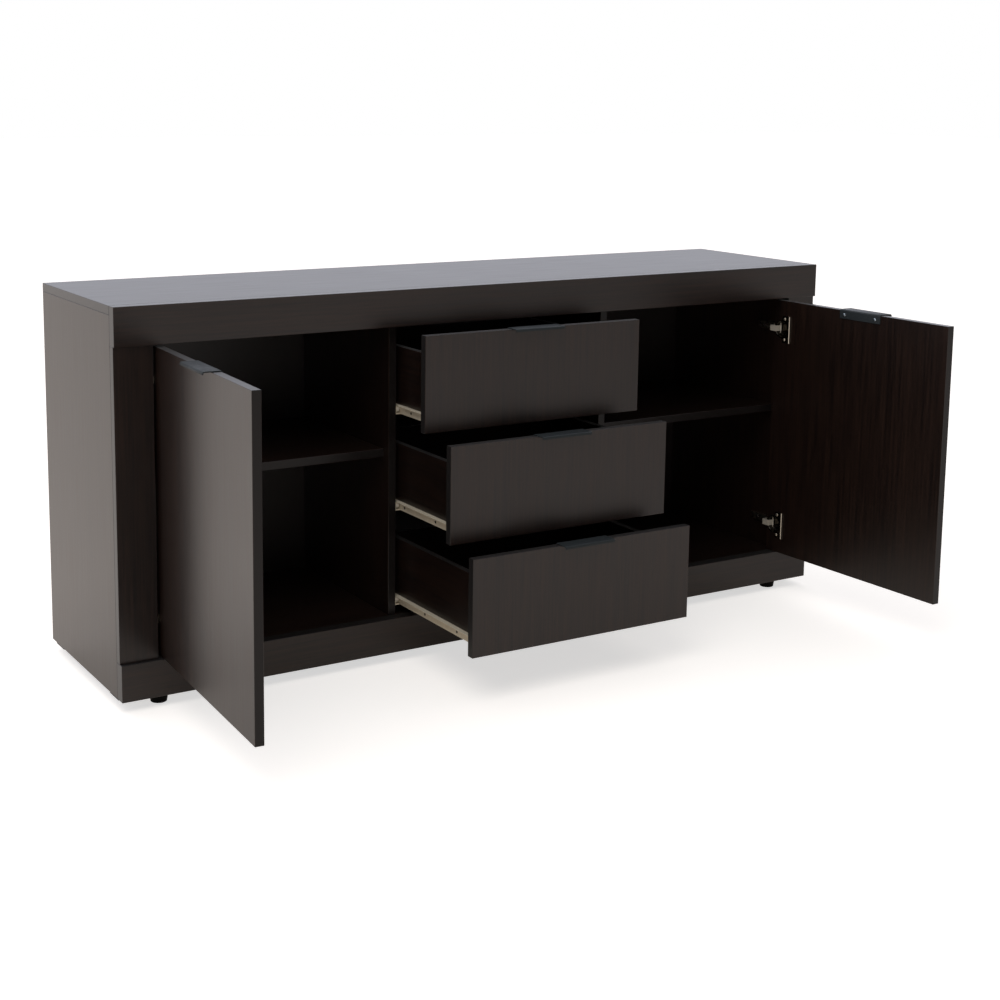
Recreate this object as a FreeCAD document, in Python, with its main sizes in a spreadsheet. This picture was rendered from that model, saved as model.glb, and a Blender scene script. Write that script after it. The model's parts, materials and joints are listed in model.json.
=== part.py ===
"""Sideboard: a low cabinet with a cupboard bay on each side and three drawers between them.

The carcass is 16 mm board. A plinth, two pilasters and a fascia frame the front, and the
doors and drawer fronts close inside that frame. Doors hang on concealed cup hinges, drawers
run on roller runners, and every front is pulled by a folded plate over its top edge.

Frame: origin on the floor under the middle of the cabinet, X to the right, Y to the back,
Z up, millimetres. The doors and drawers are modelled open, as far as the sizes below say.
"""
import FreeCAD
import Part
import Sketcher
import os
import re

SIZES = {
    # Cabinet
    "overall_width": 1600,
    "overall_depth": 400,
    "cabinet_height": 705,
    "board": 16,
    "back_thickness": 3,
    "edge_ease": 0.6,
    "cut_overrun": 1,
    # Front frame
    "plinth_thickness": 25,
    "plinth_height": 68,
    "fascia_thickness": 22,
    "fascia_height": 70,
    "pilaster_width": 72,
    "pilaster_thickness": 16,
    # Gaps round the doors and drawer fronts
    "front_thickness": 16,
    "hinge_gap": 3.5,
    "front_gap": 3,
    "sill_gap": 2,
    "head_gap": 4.5,
    "drawer_gap": 6,
    "partition_relief": 1,
    # Shelves on their pegs
    "shelf_rise": 310.5,
    "shelf_setback": 20,
    "shelf_clearance": 0.5,
    "peg_radius": 2.5,
    "peg_seat": 10,
    "peg_reach": 8,
    "peg_front_inset": 62,
    "peg_back_inset": 60,
    "peg_clearance": 0.05,
    # Feet, their blocks and the glides under the sides
    "block_side": 44,
    "foot_height": 20,
    "foot_top_radius": 18,
    "foot_base_radius": 15,
    "foot_side_inset": 80,
    "foot_face_inset": 9,
    "stud_radius": 4,
    "stud_length": 25,
    "stud_clearance": 0.1,
    "glide_length": 44,
    "glide_width": 13,
    "glide_thickness": 3.5,
    "glide_front_inset": 1,
    "glide_back_inset": 20,
    # Cup hinges: the pin stands in the cup, the arm turns on it
    "hinge_inset": 62,
    "hinge_pin_inset": 9.5,
    "hinge_pin_depth": 7,
    "hinge_pin_radius": 1.2,
    "hinge_clearance": 0.05,
    "cup_radius": 17.5,
    "cup_depth": 12.5,
    "cup_wall": 1,
    "cup_inset": 22,
    "cup_clearance": 0.1,
    "flange_thickness": 1.3,
    "flange_rim": 2,
    "wing_height": 58,
    "wing_start": 3.5,
    "wing_width": 24.5,
    "hem_width": 7.5,
    "hem_thickness": 2.6,
    "knuckle_radius": 2.2,
    "arm_gauge": 2,
    "arm_neck_width": 12,
    "arm_neck_reach": 14,
    "arm_neck_rise": 16,
    "arm_body_width": 14.4,
    "arm_side_gauge": 1.2,
    "arm_side_depth": 5,
    "arm_length": 70,
    "plate_strip_end": 84,
    "plate_strip_gauge": 2,
    "plate_block_height": 7,
    "plate_block_start": 24,
    "plate_block_end": 68,
    "plate_block_clearance": 0.1,
    "left_door_angle": 93.0,
    "right_door_angle": 92.1,
    # Edge pulls
    "pull_length": 111,
    "pull_gauge": 2,
    "pull_tab": 16,
    "pull_lip": 3.5,
    "pull_drop": 17,
    "pull_bend": 2.6,
    "bend_search": 0.05,
    "door_pull_shift": 9,
    # Drawer boxes
    "upper_open_share": 0.3387,
    "middle_open_share": 0.6452,
    "lower_open_share": 0.9065,
    "drawer_depth": 350,
    "drawer_hold": 40,
    "drawer_side_thickness": 12,
    "drawer_side_height": 128,
    "drawer_bottom_thickness": 3,
    "groove_height": 10,
    "groove_depth": 6,
    "groove_clearance": 0.1,
    # Roller runners
    "runner_clearance": 12.5,
    "runner_lift": 15,
    "runner_height": 17,
    "runner_gauge": 1.2,
    "runner_lip": 9,
    "runner_flange_gap": 2.6,
    "rail_flange": 10,
    "rail_gap": 0.5,
    "rail_front_inset": 2,
    "rail_notch": 18,
    "roller_radius": 6,
    "roller_width": 7.6,
    "roller_start": 2,
    "roller_end_inset": 9,
    "roller_play": 0.2,
    "roller_lift_gap": 0.3,
    "axle_radius": 2,
    "axle_clearance": 0.05,
}

LAYOUT = {
    "half_width": "overall_width / 2",
    "plinth_face": "-overall_depth / 2",
    "rear_face": "overall_depth / 2",
    "carcass_face": "plinth_face + plinth_thickness",
    "front_face": "carcass_face - pilaster_thickness",
    "panel_back": "rear_face - back_thickness",
    "cabinet_top": "foot_height + cabinet_height",
    "lid_under": "cabinet_top - board",
    "floor_top": "foot_height + plinth_height",
    "floor_under": "floor_top - board",
    "fascia_under": "cabinet_top - fascia_height",
    "side_inner": "half_width - board",
    "wall_face": "half_width - pilaster_width",
    "bay_width": "(overall_width - 2 * pilaster_width - 2 * board) / 3",
    "partition_face": "bay_width / 2",
    "partition_outer": "partition_face + board",
    "partition_front": "front_face + front_thickness + partition_relief",
    "rail_inner": "panel_back - board",
    "door_width": "bay_width + board / 2 - hinge_gap - front_gap / 2",
    "door_base": "floor_top + sill_gap",
    "door_height": "fascia_under - head_gap - door_base",
    "drawer_front_half": "(bay_width + board - front_gap) / 2",
    "drawer_front_height": "(door_height - 2 * drawer_gap) / 3",
    "drawer_pitch": "drawer_front_height + drawer_gap",
    "shelf_under": "floor_top + shelf_rise",
    "shelf_front": "carcass_face + shelf_setback",
    "peg_height": "shelf_under - peg_radius",
    "peg_front": "carcass_face + peg_front_inset",
    "peg_rear": "panel_back - peg_back_inset",
    "foot_x": "half_width - foot_side_inset",
    "foot_front": "carcass_face + foot_face_inset",
    "foot_rear": "rail_inner - foot_face_inset",
    "pin_x": "wall_face - hinge_gap - hinge_pin_inset",
    "pin_y": "front_face + hinge_pin_depth",
    "door_inner": "front_thickness - hinge_pin_depth",
    "cup_offset": "cup_inset - hinge_pin_inset",
    "cup_floor": "door_inner - cup_depth",
    "pin_half": "sqrt(cup_radius ^ 2 - (cup_offset + hinge_pin_radius) ^ 2) - hinge_clearance",
    "wall_offset": "hinge_gap + hinge_pin_inset",
    "plate_top": "plate_block_height - wall_offset",
    "drawer_travel": "drawer_depth - drawer_hold",
    "upper_extension": "drawer_travel * upper_open_share",
    "middle_extension": "drawer_travel * middle_open_share",
    "lower_extension": "drawer_travel * lower_open_share",
    "box_half": "partition_face - runner_clearance",
    "box_inner": "box_half - drawer_side_thickness",
    "side_base": "runner_lift + runner_gauge",
    "side_top": "side_base + drawer_side_height",
    "groove_base": "side_base + groove_height",
    "groove_top": "groove_base + drawer_bottom_thickness + 2 * groove_clearance",
    "flange_under": "runner_lift + runner_height - runner_gauge",
    "rail_top": "flange_under - rail_gap",
    "rail_base": "rail_top - 2 * runner_gauge - 2 * roller_radius - 2 * roller_play",
    "rail_front": "carcass_face + rail_front_inset",
    "rail_roller_y": "rail_front + roller_end_inset",
    "rail_roller_z": "flange_under - roller_lift_gap - roller_radius",
    "runner_rear": "front_face + front_thickness + drawer_depth",
    "runner_roller_y": "runner_rear - roller_end_inset",
    "runner_roller_z": "rail_base + runner_gauge + roller_play + roller_radius",
    "roller_end": "roller_start + roller_width",
    "runner_web": "runner_clearance - runner_gauge",
}

LEFT, RIGHT = -1, 1
HANDS = {LEFT: "left", RIGHT: "right"}
DRAWERS = ("lower", "middle", "upper")
BOX_EDGE_COUNT = 12

doc = FreeCAD.newDocument("sideboard")
nodes = []


def bound(text):
    """An expression in plain names, with each name tied to the sheet that holds it."""
    def tie(match):
        name = match.group(0)
        sheets = [title for title, names in (("layout", LAYOUT), ("sizes", SIZES)) if name in names]
        return ".".join(sheets + [name])
    return re.sub(r"[a-z][a-z_]*", tie, text)


def fill_sheets():
    """Driving sizes in one sheet as plain numbers, what follows from them in the other."""
    sizes = doc.addObject("Spreadsheet::Sheet", "sizes")
    layout = doc.addObject("Spreadsheet::Sheet", "layout")
    for row, (name, number) in enumerate(SIZES.items(), start=1):
        sizes.set(f"A{row}", name)
        sizes.set(f"B{row}", str(number))
        sizes.setAlias(f"B{row}", name)
    for row, (name, formula) in enumerate(LAYOUT.items(), start=1):
        layout.set(f"A{row}", name)
        layout.set(f"B{row}", "=" + bound(formula).replace("layout.", ""))
        layout.setAlias(f"B{row}", name)
    doc.recompute()
    return layout


sheet = fill_sheets()


def measure(text):
    return float(sheet.evalExpression(bound(text)))


def mirrored(hand, text):
    return f"{hand} * ({text})"


def new_body(label):
    body = doc.addObject("PartDesign::Body", label)
    body.Label = label
    return body


def place(body, x="0", y="0", z="0", turn=None):
    """Ties the body's place, and its turn about the vertical, to the sheets."""
    if turn:
        body.Placement = FreeCAD.Placement(FreeCAD.Vector(), FreeCAD.Rotation(FreeCAD.Vector(0, 0, 1), 1))
        body.setExpression("Placement.Rotation.Angle", bound(turn))
    for axis, text in zip("xyz", (x, y, z)):
        body.setExpression(f"Placement.Base.{axis}", bound(text))


def outline(body, name, plane, corners, offset=None, shift=None):
    """A closed sketch of straight lines whose corners are pairs of expressions.

    The offset carries the sketch off its plane, the shift moves it sideways on the plane.
    """
    sketch = body.newObject("Sketcher::SketchObject", name)
    support = [item for item in body.Origin.OriginFeatures if item.Role == plane]
    sketch.AttachmentSupport = [(support[0], "")]
    sketch.MapMode = "FlatFace"
    if offset:
        sketch.setExpression("AttachmentOffset.Base.z", bound(offset))
    if shift:
        sketch.setExpression("AttachmentOffset.Base.x", bound(shift))
    points = [(measure(across), measure(up)) for across, up in corners]
    count = len(points)
    ends = points[1:] + points[:1]
    sketch.addGeometry([Part.LineSegment(FreeCAD.Vector(*start, 0), FreeCAD.Vector(*end, 0))
                        for start, end in zip(points, ends)])
    rules = [Sketcher.Constraint("Coincident", index, 2, (index + 1) % count, 1) for index in range(count)]
    for index, (across, up) in enumerate(points):
        rules.append(Sketcher.Constraint("DistanceX", -1, 1, index, 1, across))
        rules.append(Sketcher.Constraint("DistanceY", -1, 1, index, 1, up))
    sketch.addConstraint(rules)
    for index, (across, up) in enumerate(corners):
        sketch.setExpression(f"Constraints[{count + 2 * index}]", bound(across))
        sketch.setExpression(f"Constraints[{count + 2 * index + 1}]", bound(up))
    return sketch


def pad(body, sketch, length, symmetric=False, reverse=False):
    feature = body.newObject("PartDesign::Pad", f"{sketch.Name}_pad")
    feature.Profile = sketch
    feature.setExpression("Length", bound(length))
    feature.SideType = "Symmetric" if symmetric else "One side"
    feature.Reversed = reverse
    return feature


def revolve(body, sketch, axis):
    feature = body.newObject("PartDesign::Revolution", f"{sketch.Name}_turned")
    feature.Profile = sketch
    feature.ReferenceAxis = (sketch, [axis])
    feature.Angle = 360
    return feature


def ease(body, feature, edges):
    """A small chamfer, as an edging strip leaves on the corners of a board."""
    chamfer = body.newObject("PartDesign::Chamfer", f"{feature.Name}_eased")
    chamfer.Base = (feature, [f"Edge{index + 1}" for index in range(edges)])
    chamfer.setExpression("Size", bound("edge_ease"))


def rectangle(low, high):
    (left, near), (right, far) = low, high
    return [(left, near), (right, near), (right, far), (left, far)]


def box(body, kind, name, low, high):
    """An additive or subtractive block between two corners given as expressions."""
    feature = body.newObject(f"PartDesign::{kind}Box", name)
    for side, start, end in zip(("Length", "Width", "Height"), low, high):
        feature.setExpression(side, bound(f"({end}) - ({start})"))
    for axis, start in zip("xyz", low):
        feature.setExpression(f"Placement.Base.{axis}", bound(start))
    return feature


TURNS = {"x": FreeCAD.Rotation(FreeCAD.Vector(0, 1, 0), 90),
         "y": FreeCAD.Rotation(FreeCAD.Vector(1, 0, 0), -90),
         "z": FreeCAD.Rotation()}


def rod(body, kind, name, along, start, radius, length):
    """An additive or subtractive cylinder from a start point along +X, +Y or +Z."""
    feature = body.newObject(f"PartDesign::{kind}Cylinder", name)
    feature.Placement = FreeCAD.Placement(FreeCAD.Vector(), TURNS[along])
    feature.setExpression("Radius", bound(radius))
    feature.setExpression("Height", bound(length))
    for axis, text in zip("xyz", start):
        feature.setExpression(f"Placement.Base.{axis}", bound(text))
    return feature


def board(label, across, deep, tall, eased=True):
    """A rectangular board between pairs of expressions on X, Y and Z."""
    body = new_body(label)
    sketch = outline(body, f"{label}_outline", "XY_Plane",
                     rectangle((across[0], deep[0]), (across[1], deep[1])))
    feature = pad(body, sketch, f"({tall[1]}) - ({tall[0]})")
    if eased:
        ease(body, feature, BOX_EDGE_COUNT)
    place(body, z=tall[0])
    return body


def node(body):
    nodes.append(body)
    return body


def group(label, bodies):
    """Like pieces that share one node, each a solid of its own."""
    compound = doc.addObject("Part::Compound", label)
    compound.Label = label
    compound.Links = bodies
    return node(compound)


# Carcass


def span(hand, inner, outer):
    return mirrored(hand, inner), mirrored(hand, outer)


def make_carcass():
    full = ("-half_width", "half_width")
    between = ("-side_inner", "side_inner")
    node(board("lid", full, ("carcass_face", "rear_face"), ("lid_under", "cabinet_top")))
    node(board("fascia", full, ("carcass_face - fascia_thickness", "carcass_face"),
               ("fascia_under", "cabinet_top")))
    node(board("plinth", full, ("plinth_face", "carcass_face"), ("foot_height", "floor_top")))
    node(board("bottom_panel", between, ("carcass_face", "panel_back"),
               ("floor_under", "floor_top"), False))
    node(board("back_panel", between, ("panel_back", "rear_face"), ("floor_under", "lid_under"), False))
    node(board("rear_rail", between, ("rail_inner", "panel_back"), ("foot_height", "floor_under"), False))
    for hand, name in HANDS.items():
        node(board(f"{name}_side", span(hand, "side_inner", "half_width"), ("carcass_face", "rear_face"),
                   ("foot_height", "lid_under")))
        node(board(f"{name}_pilaster", span(hand, "wall_face", "half_width"),
                   ("front_face", "carcass_face"), ("floor_top", "fascia_under")))
        wall = node(board(f"{name}_inner_wall", span(hand, "wall_face", "wall_face + board"),
                          ("carcass_face", "panel_back"), ("floor_top", "lid_under"), False))
        drill_pegs(wall, mirrored(hand, "wall_face"), hand)
        partition = node(board(f"{name}_partition", span(hand, "partition_face", "partition_outer"),
                               ("partition_front", "panel_back"), ("floor_top", "lid_under")))
        drill_pegs(partition, mirrored(hand, "partition_outer"), -hand)


def peg_start(face, away, outside, inside):
    """Where a rod along +X starts that runs from outside a face to inside its board."""
    return f"{face} - ({outside})" if away > 0 else f"{face} - ({inside})"


def drill_pegs(body, face, away):
    """Blind holes for the shelf pegs in a face whose board lies towards away on X."""
    start = peg_start(face, away, "cut_overrun", "peg_seat + peg_clearance")
    for name, depth in (("front", "peg_front"), ("rear", "peg_rear")):
        rod(body, "Subtractive", f"{body.Name}_{name}_hole", "x", (start, depth, "peg_height - floor_top"),
            "peg_radius + peg_clearance", "peg_seat + peg_clearance + cut_overrun")


def make_shelves():
    pegs = []
    for hand, name in HANDS.items():
        node(board(f"{name}_shelf",
                   span(hand, "partition_outer + shelf_clearance", "wall_face - shelf_clearance"),
                   ("shelf_front", "panel_back - shelf_clearance"), ("shelf_under", "shelf_under + board")))
        for face, away in ((mirrored(hand, "wall_face"), hand), (mirrored(hand, "partition_outer"), -hand)):
            for depth in ("peg_front", "peg_rear"):
                peg = new_body(f"{name}_peg_{len(pegs)}")
                rod(peg, "Additive", f"{peg.Name}_rod", "x",
                    (peg_start(face, away, "peg_reach", "peg_seat"), depth, "peg_height"),
                    "peg_radius", "peg_seat + peg_reach")
                pegs.append(peg)
    group("shelf_pegs", pegs)


def make_feet():
    """Corner blocks under the bottom panel, a moulded foot in each, and glides under the sides."""
    blocks, feet, glides = [], [], []
    for hand, name in HANDS.items():
        x = mirrored(hand, "foot_x")
        for end, y, low, high in (("front", "foot_front", "carcass_face", "carcass_face + block_side"),
                                  ("rear", "foot_rear", "rail_inner - block_side", "rail_inner")):
            block = board(f"{name}_{end}_block",
                          (f"{x} - block_side / 2", f"{x} + block_side / 2"), (low, high),
                          ("foot_height", "floor_under"), False)
            rod(block, "Subtractive", f"{block.Name}_bore", "z", (x, y, "-cut_overrun"),
                "stud_radius + stud_clearance", "stud_length + stud_clearance + cut_overrun")
            blocks.append(block)
            foot = new_body(f"{name}_{end}_foot")
            half = [("0", "0"), ("foot_base_radius", "0"),
                    ("foot_top_radius", "foot_height"), ("stud_radius", "foot_height"),
                    ("stud_radius", "foot_height + stud_length"), ("0", "foot_height + stud_length")]
            revolve(foot, outline(foot, f"{foot.Name}_half", "XZ_Plane", half), "V_Axis")
            place(foot, x, y)
            feet.append(foot)
        middle = mirrored(hand, "half_width - board / 2")
        for end, low in (("front", "carcass_face + glide_front_inset"),
                         ("rear", "rear_face - glide_back_inset - glide_length")):
            glides.append(board(f"{name}_{end}_glide",
                                (f"{middle} - glide_width / 2", f"{middle} + glide_width / 2"),
                                (low, f"{low} + glide_length"),
                                ("foot_height - glide_thickness", "foot_height")))
    group("corner_blocks", blocks)
    group("feet", feet)
    group("side_glides", glides)


# Cup hinges


HINGE_HEIGHTS = {"lower": "hinge_inset", "upper": "door_height - hinge_inset"}


def make_hinge_arm(label, hand):
    """The cranked arm: a knuckle on the pin, a neck out of the cup, a channel on the plate."""
    body = new_body(label)
    half = "arm_gauge / 2"
    neck = [("0", f"-{half}"),
            (f"arm_neck_reach + {half}", f"-{half}"),
            (f"arm_neck_reach + {half}", f"arm_neck_rise + {half}"),
            ("plate_top + arm_gauge", f"arm_neck_rise + {half}"),
            ("plate_top + arm_gauge", "arm_length"),
            ("plate_top", "arm_length"),
            ("plate_top", f"arm_neck_rise - {half}"),
            (f"arm_neck_reach - {half}", f"arm_neck_rise - {half}"),
            (f"arm_neck_reach - {half}", half),
            ("0", half)]
    turned = [(mirrored(-hand, across), deep) for across, deep in neck]
    pad(body, outline(body, f"{label}_neck", "XY_Plane", turned), "arm_neck_width", symmetric=True)
    channel = [("plate_top", "plate_block_start"), ("plate_top + arm_gauge", "plate_block_start"),
               ("plate_top + arm_gauge", "arm_length"), ("plate_top", "arm_length")]
    turned = [(mirrored(-hand, across), deep) for across, deep in channel]
    pad(body, outline(body, f"{label}_bridge", "XY_Plane", turned), "arm_body_width", symmetric=True)
    near, far = sorted((mirrored(-hand, "plate_top - arm_side_depth"),
                        mirrored(-hand, "plate_top + arm_gauge")), key=measure)
    for end, low in (("upper", "arm_body_width / 2 - arm_side_gauge"), ("lower", "-arm_body_width / 2")):
        box(body, "Additive", f"{label}_{end}_cheek", (near, "plate_block_start", low),
            (far, "arm_length", f"{low} + arm_side_gauge"))
    rod(body, "Additive", f"{label}_knuckle", "z", ("0", "0", "-arm_neck_width / 2"),
        "knuckle_radius", "arm_neck_width")
    rod(body, "Subtractive", f"{label}_bore", "z", ("0", "0", "-arm_neck_width / 2 - cut_overrun"),
        "hinge_pin_radius + hinge_clearance", "arm_neck_width + 2 * cut_overrun")
    return body


def make_hinge_plate(label, hand):
    """The in-line plate on the inner wall: a strip with a raised block for the arm."""
    body = new_body(label)
    wall, top = mirrored(-hand, "-wall_offset"), mirrored(-hand, "plate_top")
    strip = mirrored(-hand, "plate_strip_gauge - wall_offset")
    width = "arm_body_width / 2 - arm_side_gauge - plate_block_clearance"
    low, high = sorted((wall, top), key=measure)
    box(body, "Additive", f"{label}_block", (low, "plate_block_start", f"-({width})"),
        (high, "plate_block_end", width))
    low, high = sorted((wall, strip), key=measure)
    box(body, "Additive", f"{label}_strip", (low, "plate_block_start", f"-({width})"),
        (high, "plate_strip_end", width))
    return body


def make_hinge_cup(label, hand, height):
    """The pressed cup in the door: a turned pot with a hemmed screw flange and holes for the pin."""
    body = new_body(label)
    centre = mirrored(-hand, "cup_offset")
    half = [("0", "cup_floor"), ("cup_radius", "cup_floor"), ("cup_radius", "door_inner"),
            ("cup_radius + flange_rim", "door_inner"),
            ("cup_radius + flange_rim", "door_inner + flange_thickness"),
            ("0", "door_inner + flange_thickness")]
    revolve(body, outline(body, f"{label}_half", "XY_Plane", half, height, centre), "V_Axis")
    low, high = sorted((mirrored(-hand, "cup_offset + wing_start"),
                        mirrored(-hand, "cup_offset + wing_start + wing_width")), key=measure)
    box(body, "Additive", f"{label}_wings", (low, "door_inner", f"{height} - wing_height / 2"),
        (high, "door_inner + flange_thickness", f"{height} + wing_height / 2"))
    start, stop = sorted((mirrored(-hand, "cup_offset + wing_start + wing_width - hem_width"),
                          mirrored(-hand, "cup_offset + wing_start + wing_width")), key=measure)
    box(body, "Additive", f"{label}_hem", (start, "door_inner", f"{height} - wing_height / 2"),
        (stop, "door_inner + hem_thickness", f"{height} + wing_height / 2"))
    rod(body, "Subtractive", f"{label}_mouth", "y", (centre, "cup_floor + cup_wall", height),
        "cup_radius - cup_wall", "cup_depth + flange_thickness")
    rod(body, "Subtractive", f"{label}_pin_hole", "z",
        ("0", "0", f"{height} - pin_half - hinge_clearance"),
        "hinge_pin_radius + hinge_clearance", "2 * (pin_half + hinge_clearance)")
    return body


def make_hinges_on_cabinet():
    arms, plates = [], []
    for hand, name in HANDS.items():
        for level, height in HINGE_HEIGHTS.items():
            arm = make_hinge_arm(f"{name}_{level}_hinge_arm", hand)
            plate = make_hinge_plate(f"{name}_{level}_hinge_plate", hand)
            for body in (arm, plate):
                place(body, mirrored(hand, "pin_x"), "pin_y", f"door_base + {height}")
            arms.append(arm)
            plates.append(plate)
    group("hinge_arms", arms)
    group("hinge_plates", plates)


def on_door(body, hand, name):
    """Hangs a piece drawn about the hinge pin of a closed door, with the door at its angle."""
    place(body, mirrored(hand, "pin_x"), "pin_y", "door_base", mirrored(hand, f"{name}_door_angle"))


def bend(body, feature, folds):
    """Rounds the outside of a folded plate along the X edges that pass through the given Y and Z."""
    names = []
    for index, edge in enumerate(feature.Shape.Edges, start=1):
        for y, z in folds:
            if all(FreeCAD.Vector(0, point.Y - y, point.Z - z).Length < measure("bend_search")
                   for point in edge.Vertexes):
                names.append(f"Edge{index}")
    rounded = body.newObject("PartDesign::Fillet", f"{feature.Name}_bends")
    rounded.Base = (feature, names)
    rounded.setExpression("Radius", bound("pull_bend"))


def make_pull(label, centre, face, back, top):
    """A folded plate screwed behind a front, over its top edge and out to a tab with a lip."""
    body = new_body(label)
    section = [(f"{back} + pull_gauge", f"{top} - pull_drop"),
               (f"{back} + pull_gauge", f"{top} + pull_gauge"),
               (f"{face} - pull_tab", f"{top} + pull_gauge"),
               (f"{face} - pull_tab", f"{top} - pull_lip"),
               (f"{face} - pull_tab + pull_gauge", f"{top} - pull_lip"),
               (f"{face} - pull_tab + pull_gauge", top),
               (back, top),
               (back, f"{top} - pull_drop")]
    sketch = outline(body, f"{label}_section", "YZ_Plane", section, centre)
    folded = pad(body, sketch, "pull_length", symmetric=True)
    doc.recompute()
    bend(body, folded, [(measure(f"{back} + pull_gauge"), measure(f"{top} + pull_gauge")),
                        (measure(f"{face} - pull_tab"), measure(f"{top} + pull_gauge"))])
    return body


def make_door(hand, name):
    """A door with its two cup bores, drawn about the hinge pin."""
    hinge_edge = mirrored(-hand, "-hinge_pin_inset")
    free_edge = mirrored(-hand, "door_width - hinge_pin_inset")
    body = new_body(f"{name}_door")
    sketch = outline(body, f"{name}_door_outline", "XY_Plane",
                     rectangle((hinge_edge, "-hinge_pin_depth"), (free_edge, "door_inner")))
    ease(body, pad(body, sketch, "door_height"), BOX_EDGE_COUNT)
    cups, pins = [], []
    for level, height in HINGE_HEIGHTS.items():
        rod(body, "Subtractive", f"{name}_{level}_cup_bore", "y",
            (mirrored(-hand, "cup_offset"), "cup_floor - cup_clearance", height),
            "cup_radius + cup_clearance", "cup_depth + cup_clearance + cut_overrun")
        cups.append(make_hinge_cup(f"{name}_{level}_hinge_cup", hand, height))
        pin = new_body(f"{name}_{level}_hinge_pin")
        rod(pin, "Additive", f"{pin.Name}_rod", "z", ("0", "0", f"{height} - pin_half"),
            "hinge_pin_radius", "2 * pin_half")
        pins.append(pin)
    node(body)
    grip = mirrored(-hand, "door_width / 2 - hinge_pin_inset + door_pull_shift")
    pull = node(make_pull(f"{name}_door_pull", grip, "-hinge_pin_depth", "door_inner", "door_height"))
    for piece in (body, pull, *cups, *pins):
        on_door(piece, hand, name)
    group(f"{name}_hinge_cups", cups)
    group(f"{name}_hinge_pins", pins)


# Drawers


def drawer_z(step):
    return f"door_base + {step} * drawer_pitch"


def on_drawer(body, name, step):
    """Carries a piece drawn on a closed drawer out to the drawer's extension."""
    place(body, "0", f"-{name}_extension", drawer_z(step))


def from_partition(hand, distance):
    """X of a place a distance in from a partition's drawer side."""
    return mirrored(hand, f"partition_face - ({distance})")


def make_roller(label, hand):
    """A moulded roller about its axle."""
    body = new_body(label)
    half = [("roller_start", "axle_radius + axle_clearance"), ("roller_start", "roller_radius"),
            ("roller_end", "roller_radius"), ("roller_end", "axle_radius + axle_clearance")]
    turned = [(from_partition(hand, across), radius) for across, radius in half]
    revolve(body, outline(body, f"{label}_half", "XY_Plane", turned), "H_Axis")
    return body


def make_rail(label, hand, step):
    """The channel on the partition, notched at the front for the roller on its axle."""
    body = new_body(label)
    section = [("0", "rail_base"), ("rail_flange", "rail_base"),
               ("rail_flange", "rail_base + runner_gauge"), ("runner_gauge", "rail_base + runner_gauge"),
               ("runner_gauge", "rail_top - runner_gauge"),
               ("rail_flange", "rail_top - runner_gauge"), ("rail_flange", "rail_top"), ("0", "rail_top")]
    turned = [(from_partition(hand, across), up) for across, up in section]
    sketch = outline(body, f"{label}_section", "XZ_Plane", turned, "-rail_front")
    pad(body, sketch, "drawer_depth", reverse=True)
    low, high = sorted((from_partition(hand, "runner_gauge"),
                        from_partition(hand, "rail_flange + cut_overrun")), key=measure)
    box(body, "Subtractive", f"{label}_notch",
        (low, "rail_front - cut_overrun", "rail_top - 2 * runner_gauge"),
        (high, "rail_front + rail_notch", "rail_top + cut_overrun"))
    low, high = sorted((from_partition(hand, "0"), from_partition(hand, "roller_end")), key=measure)
    rod(body, "Additive", f"{label}_axle", "x", (low, "rail_roller_y", "rail_roller_z"),
        "axle_radius", f"{high} - {low}")
    place(body, z=drawer_z(step))
    return body


def make_runner(label, hand):
    """The drawer's own runner: a lip under the side, a web, a track flange and a rear axle."""
    body = new_body(label)
    section = [("runner_web", "runner_lift"), ("runner_clearance + runner_lip", "runner_lift"),
               ("runner_clearance + runner_lip", "side_base"), ("runner_clearance", "side_base"),
               ("runner_clearance", "runner_lift + runner_height"),
               ("runner_flange_gap", "runner_lift + runner_height"), ("runner_flange_gap", "flange_under"),
               ("runner_web", "flange_under")]
    turned = [(from_partition(hand, across), up) for across, up in section]
    pad(body, outline(body, f"{label}_section", "XZ_Plane", turned, "-(front_face + front_thickness)"),
        "drawer_depth", reverse=True)
    low, high = sorted((from_partition(hand, "roller_start"),
                        from_partition(hand, "runner_clearance")), key=measure)
    rod(body, "Additive", f"{label}_axle", "x", (low, "runner_roller_y", "runner_roller_z"),
        "axle_radius", f"{high} - {low}")
    return body


def make_drawer_side(label, hand):
    """A drawer side with the groove for the bottom along its inner face."""
    body = new_body(label)
    section = [("box_half", "side_base"), ("box_inner", "side_base"), ("box_inner", "groove_base"),
               ("box_inner + groove_depth", "groove_base"), ("box_inner + groove_depth", "groove_top"),
               ("box_inner", "groove_top"), ("box_inner", "side_top"), ("box_half", "side_top")]
    turned = [(mirrored(hand, across), up) for across, up in section]
    pad(body, outline(body, f"{label}_section", "XZ_Plane", turned, "-(front_face + front_thickness)"),
        "drawer_depth", reverse=True)
    return body


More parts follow.
